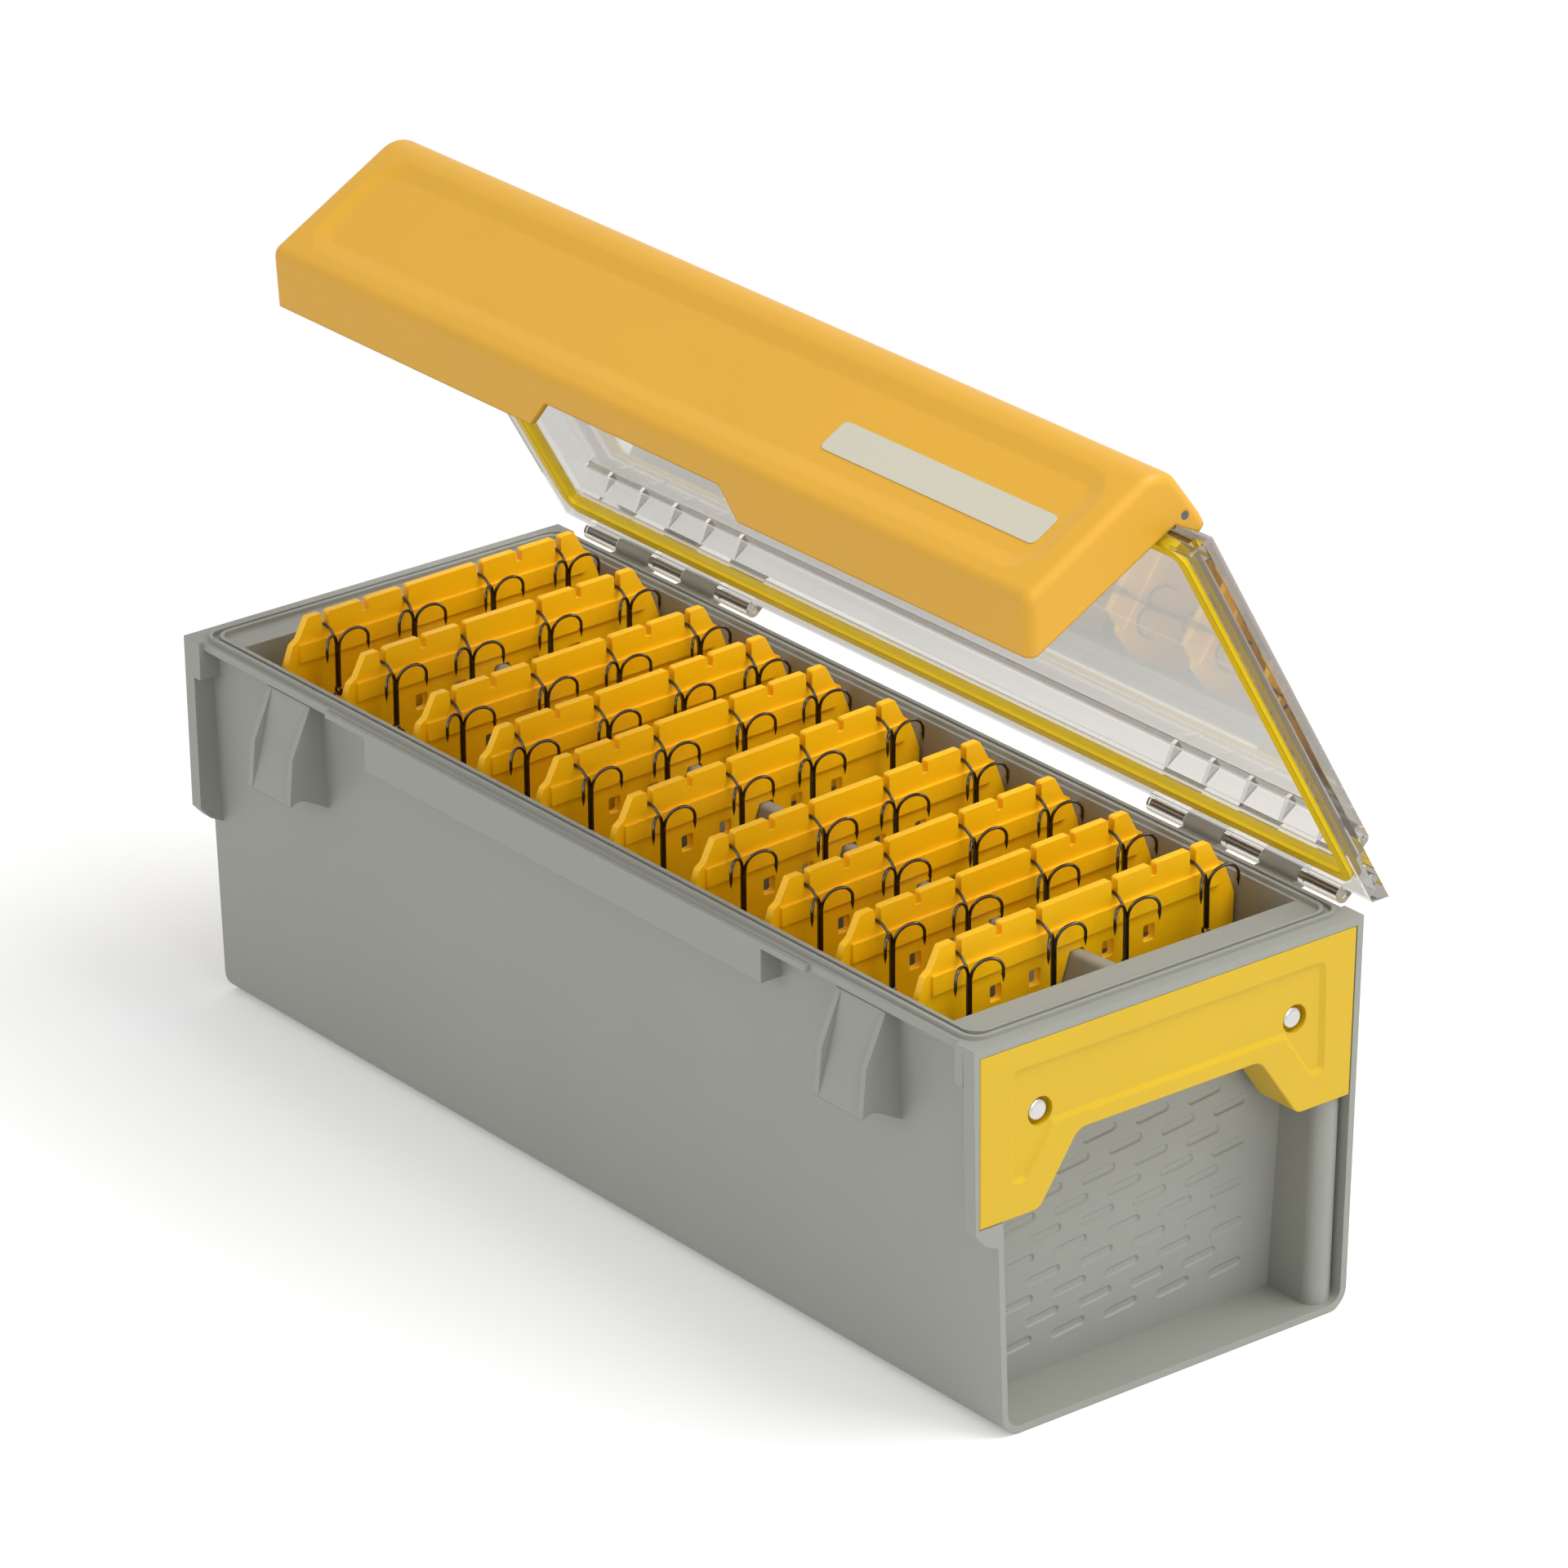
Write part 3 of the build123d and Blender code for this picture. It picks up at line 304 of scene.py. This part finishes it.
ZINC = (0.62, 0.61, 0.59, 1.0)
# Painted reflection: brown for the hinge pins, standing for the yellow racks mirrored in them.
PAINTED_REFLECTION_BROWN = (0.40, 0.34, 0.29, 1.0)
DARK_STEEL = (0.16, 0.16, 0.17, 1.0)
BLACK_NICKEL = (0.10, 0.085, 0.075, 1.0)
bright_steel = plated_metal("screw bright steel", ZINC, roughness=0.22)
pin_with_painted_reflection = plated_metal("hinge pin steel", PAINTED_REFLECTION_BROWN, roughness=0.3)
dark_steel = plated_metal("latch pin dark steel", DARK_STEEL, roughness=0.35)
black_nickel = plated_metal("hook black nickel", BLACK_NICKEL, roughness=0.2)
metals = (bright_steel, pin_with_painted_reflection, dark_steel, black_nickel)
print("metals:", [metal.name for metal in metals])

# %% [markdown]
# ## Dressing the solids
# Every solid already has one material slot. A table from the start of its name to a finish is
# enough to dress all of them, the racks and hooks included, and it is easy to check that none
# was forgotten.

# %% Give each solid its finish
finishes = {
    "tub": tub_plastic,
    "handle_plate": grip_plastic,
    "handle_screws": bright_steel,
    "hinge_pin": pin_with_painted_reflection,
    "clear_lid": lid_plastic,
    "lid_gasket": gasket_rubber,
    "latch_pin": dark_steel,
    "latch_panel": latch_plastic,
    "label": label_film,
    "hook_rack": rack_plastic,
    "treble_hooks": black_nickel,
    "split_rings": black_nickel,
}
dressed = 0
for node_name, node in nodes.items():
    for start_of_name, material in finishes.items():
        if node_name.startswith(start_of_name):
            for material_slot in node.material_slots:
                material_slot.material = material
            dressed += 1
print("dressed", dressed, "of", len(nodes))

# %% [markdown]
# ## Gasket in its groove
# The gasket is drawn with a hair of air between it and the lid. The real one is pressed against
# the clear plastic, clings to it, and is seen bright yellow through the edge. A Displace modifier
# swells it by a tenth of a millimetre, which closes that air gap for light.

# %% Press the gasket against the lid
gasket_swell = 0.0001
swell = nodes["lid_gasket"].modifiers.new("swell", "DISPLACE")
swell.mid_level = 0.0
swell.strength = gasket_swell
print("gasket swollen by", 1000 * gasket_swell, "mm")

# %% [markdown]
# ## White sweep
# The photograph is a studio packshot on a white sweep, a sheet that runs from under the object up
# behind it. A curved sheet could be modelled, but it would be white on white, so one large flat
# square does. It lies a fraction of a millimetre under the box, so that the two share no plane.

# %% Floor sheet
reach = 6.0
below = 0.0002
floor_mesh = bpy.data.meshes.new("floor sheet")
corners = [(-reach, -reach, 0), (reach, -reach, 0), (reach, reach, 0), (-reach, reach, 0)]
floor_mesh.from_pydata(corners, [], [(0, 1, 2, 3)])
floor = bpy.data.objects.new("floor sheet", floor_mesh)
floor.location.z = -below
bpy.context.scene.collection.objects.link(floor)
print("floor of", 2 * reach, "m,", 1000 * below, "mm under the box")

# %% [markdown]
# ## White paper
# Matt paper catches the object's shadow. It has a touch of its own light for the camera, so that
# it reads as paper white. Away from the box it fades to plain white, as a sweep does that is lit
# by lamps of its own. Reflections and the view through the lid see the paper as the camera does,
# so that metal and glass show it too. Each choice is the factor of a Mix Shader.

# %% White paper for the floor
WHITE = (1.0, 1.0, 1.0, 1.0)
PAPER_WHITE = (0.88, 0.88, 0.88, 1.0)
fade_from, fade_to = 0.25, 0.75
paper_light = 0.2
paper, start = new_material("floor white paper")
seen = start.ray_is("Camera", "Glossy", "Transmission")
place = start.node("ShaderNodeTexCoord", output="Object")
distance = start.node("ShaderNodeVectorMath", {"operation": "LENGTH"}, {0: place}, output="Value")
far = start.node(
    "ShaderNodeMapRange",
    {"interpolation_type": "SMOOTHSTEP"},
    {"Value": distance, "From Min": fade_from, "From Max": fade_to},
)
matt = start.node("ShaderNodeBsdfDiffuse", links={"Color": PAPER_WHITE})
plain = start.node("ShaderNodeEmission", links={"Color": WHITE, "Strength": 1.0})
bright = start.node("ShaderNodeAddShader", links={0: matt, 1: plain})
near = start.node("ShaderNodeMixShader", links={0: seen * paper_light, 1: matt, 2: bright})
sweep = start.node("ShaderNodeMixShader", links={0: seen * far, 1: near, 2: plain})
floor_mesh.materials.append(finish_with(paper, sweep))
print("paper fades to plain white from", fade_from, "to", fade_to, "m")

# %% [markdown]
# ## White room
# The world stands for the room. As a lamp it fills the shadows from all sides. The camera,
# reflections and the view through the lid see it as plain white, which is a strength of 1.

# %% World
room_light = 0.6
world = bpy.data.worlds.new("white studio")
bpy.context.scene.world = world
world.use_nodes = True
world.node_tree.nodes.clear()
start = Wire(world.node_tree)
room = start.node("ShaderNodeBackground", links={"Color": WHITE, "Strength": room_light})
white = start.node("ShaderNodeBackground", links={"Color": WHITE, "Strength": 1.0})
seen = start.ray_is("Camera", "Glossy", "Transmission")
sky = start.node("ShaderNodeMixShader", links={0: seen, 1: room, 2: white})
start.node("ShaderNodeOutputWorld", links={"Surface": sky})
print("room light:", room_light)

# %% [markdown]
# ## Soft lamps
# The shadow falls to the left and towards the camera, so the strongest lamp hangs above and
# behind on the right. A weaker one lights the end with the grip, and a wide one fills the long
# front wall. All three are large area lamps, because a large lamp makes soft edges, as a softbox
# does.

# %% Lamps
aim = Vector((0.0, 0.0, 0.12))


def soft_lamp(name, place, size, power):
    """A rectangular area lamp, turned towards the box."""
    lamp = bpy.data.lights.new(name, "AREA")
    lamp.shape = "RECTANGLE"
    lamp.size, lamp.size_y = size
    lamp.energy = power
    holder = bpy.data.objects.new(name, lamp)
    holder.location = place
    holder.rotation_euler = (aim - Vector(place)).to_track_quat("-Z", "Y").to_euler()
    bpy.context.scene.collection.objects.link(holder)
    print("lamp:", name, power, "W")


soft_lamp("key above right", place=(0.9, 0.7, 1.9), size=(1.4, 1.2), power=30)
soft_lamp("side on the end", place=(2.2, -0.2, 0.9), size=(1.0, 1.2), power=8)
soft_lamp("fill on the front", place=(-0.6, -2.6, 1.1), size=(1.6, 1.2), power=14)

# %% [markdown]
# ## Camera
# A packshot is taken from far away with a long lens, so that parallel edges stay nearly parallel.
# The lens and the place were worked out from the box's own straight edges: one vanishing
# direction for each of its three sides fixes the turn, the tilt and the focal length.

# %% Camera at the photograph's angle
image_width = 1920
focal_pixels = 10318.135
sensor_width = 36.0
turn, tilt, roll = radians(51.895), radians(23.846), radians(-0.446)
camera_place = (2.127807, -1.654103, 1.331913)
farthest = 50.0
back = Vector((sin(turn) * cos(tilt), -cos(turn) * cos(tilt), sin(tilt)))
right = Vector((cos(turn), sin(turn), 0.0))
up = back.cross(right)
axis_x = right * cos(roll) + up * sin(roll)
axis_y = up * cos(roll) - right * sin(roll)
lens = bpy.data.cameras.new("packshot camera")
lens.sensor_width = sensor_width
lens.lens = focal_pixels * sensor_width / image_width
lens.clip_end = farthest
camera = bpy.data.objects.new("packshot camera", lens)
turned = Matrix((axis_x, axis_y, back)).transposed().to_4x4()
camera.matrix_world = Matrix.Translation(camera_place) @ turned
bpy.context.scene.collection.objects.link(camera)
bpy.context.scene.camera = camera
bpy.context.scene.view_settings.view_transform = "Standard"
print("lens:", round(lens.lens, 1), "mm, distance:", round(camera.location.length, 3), "m")
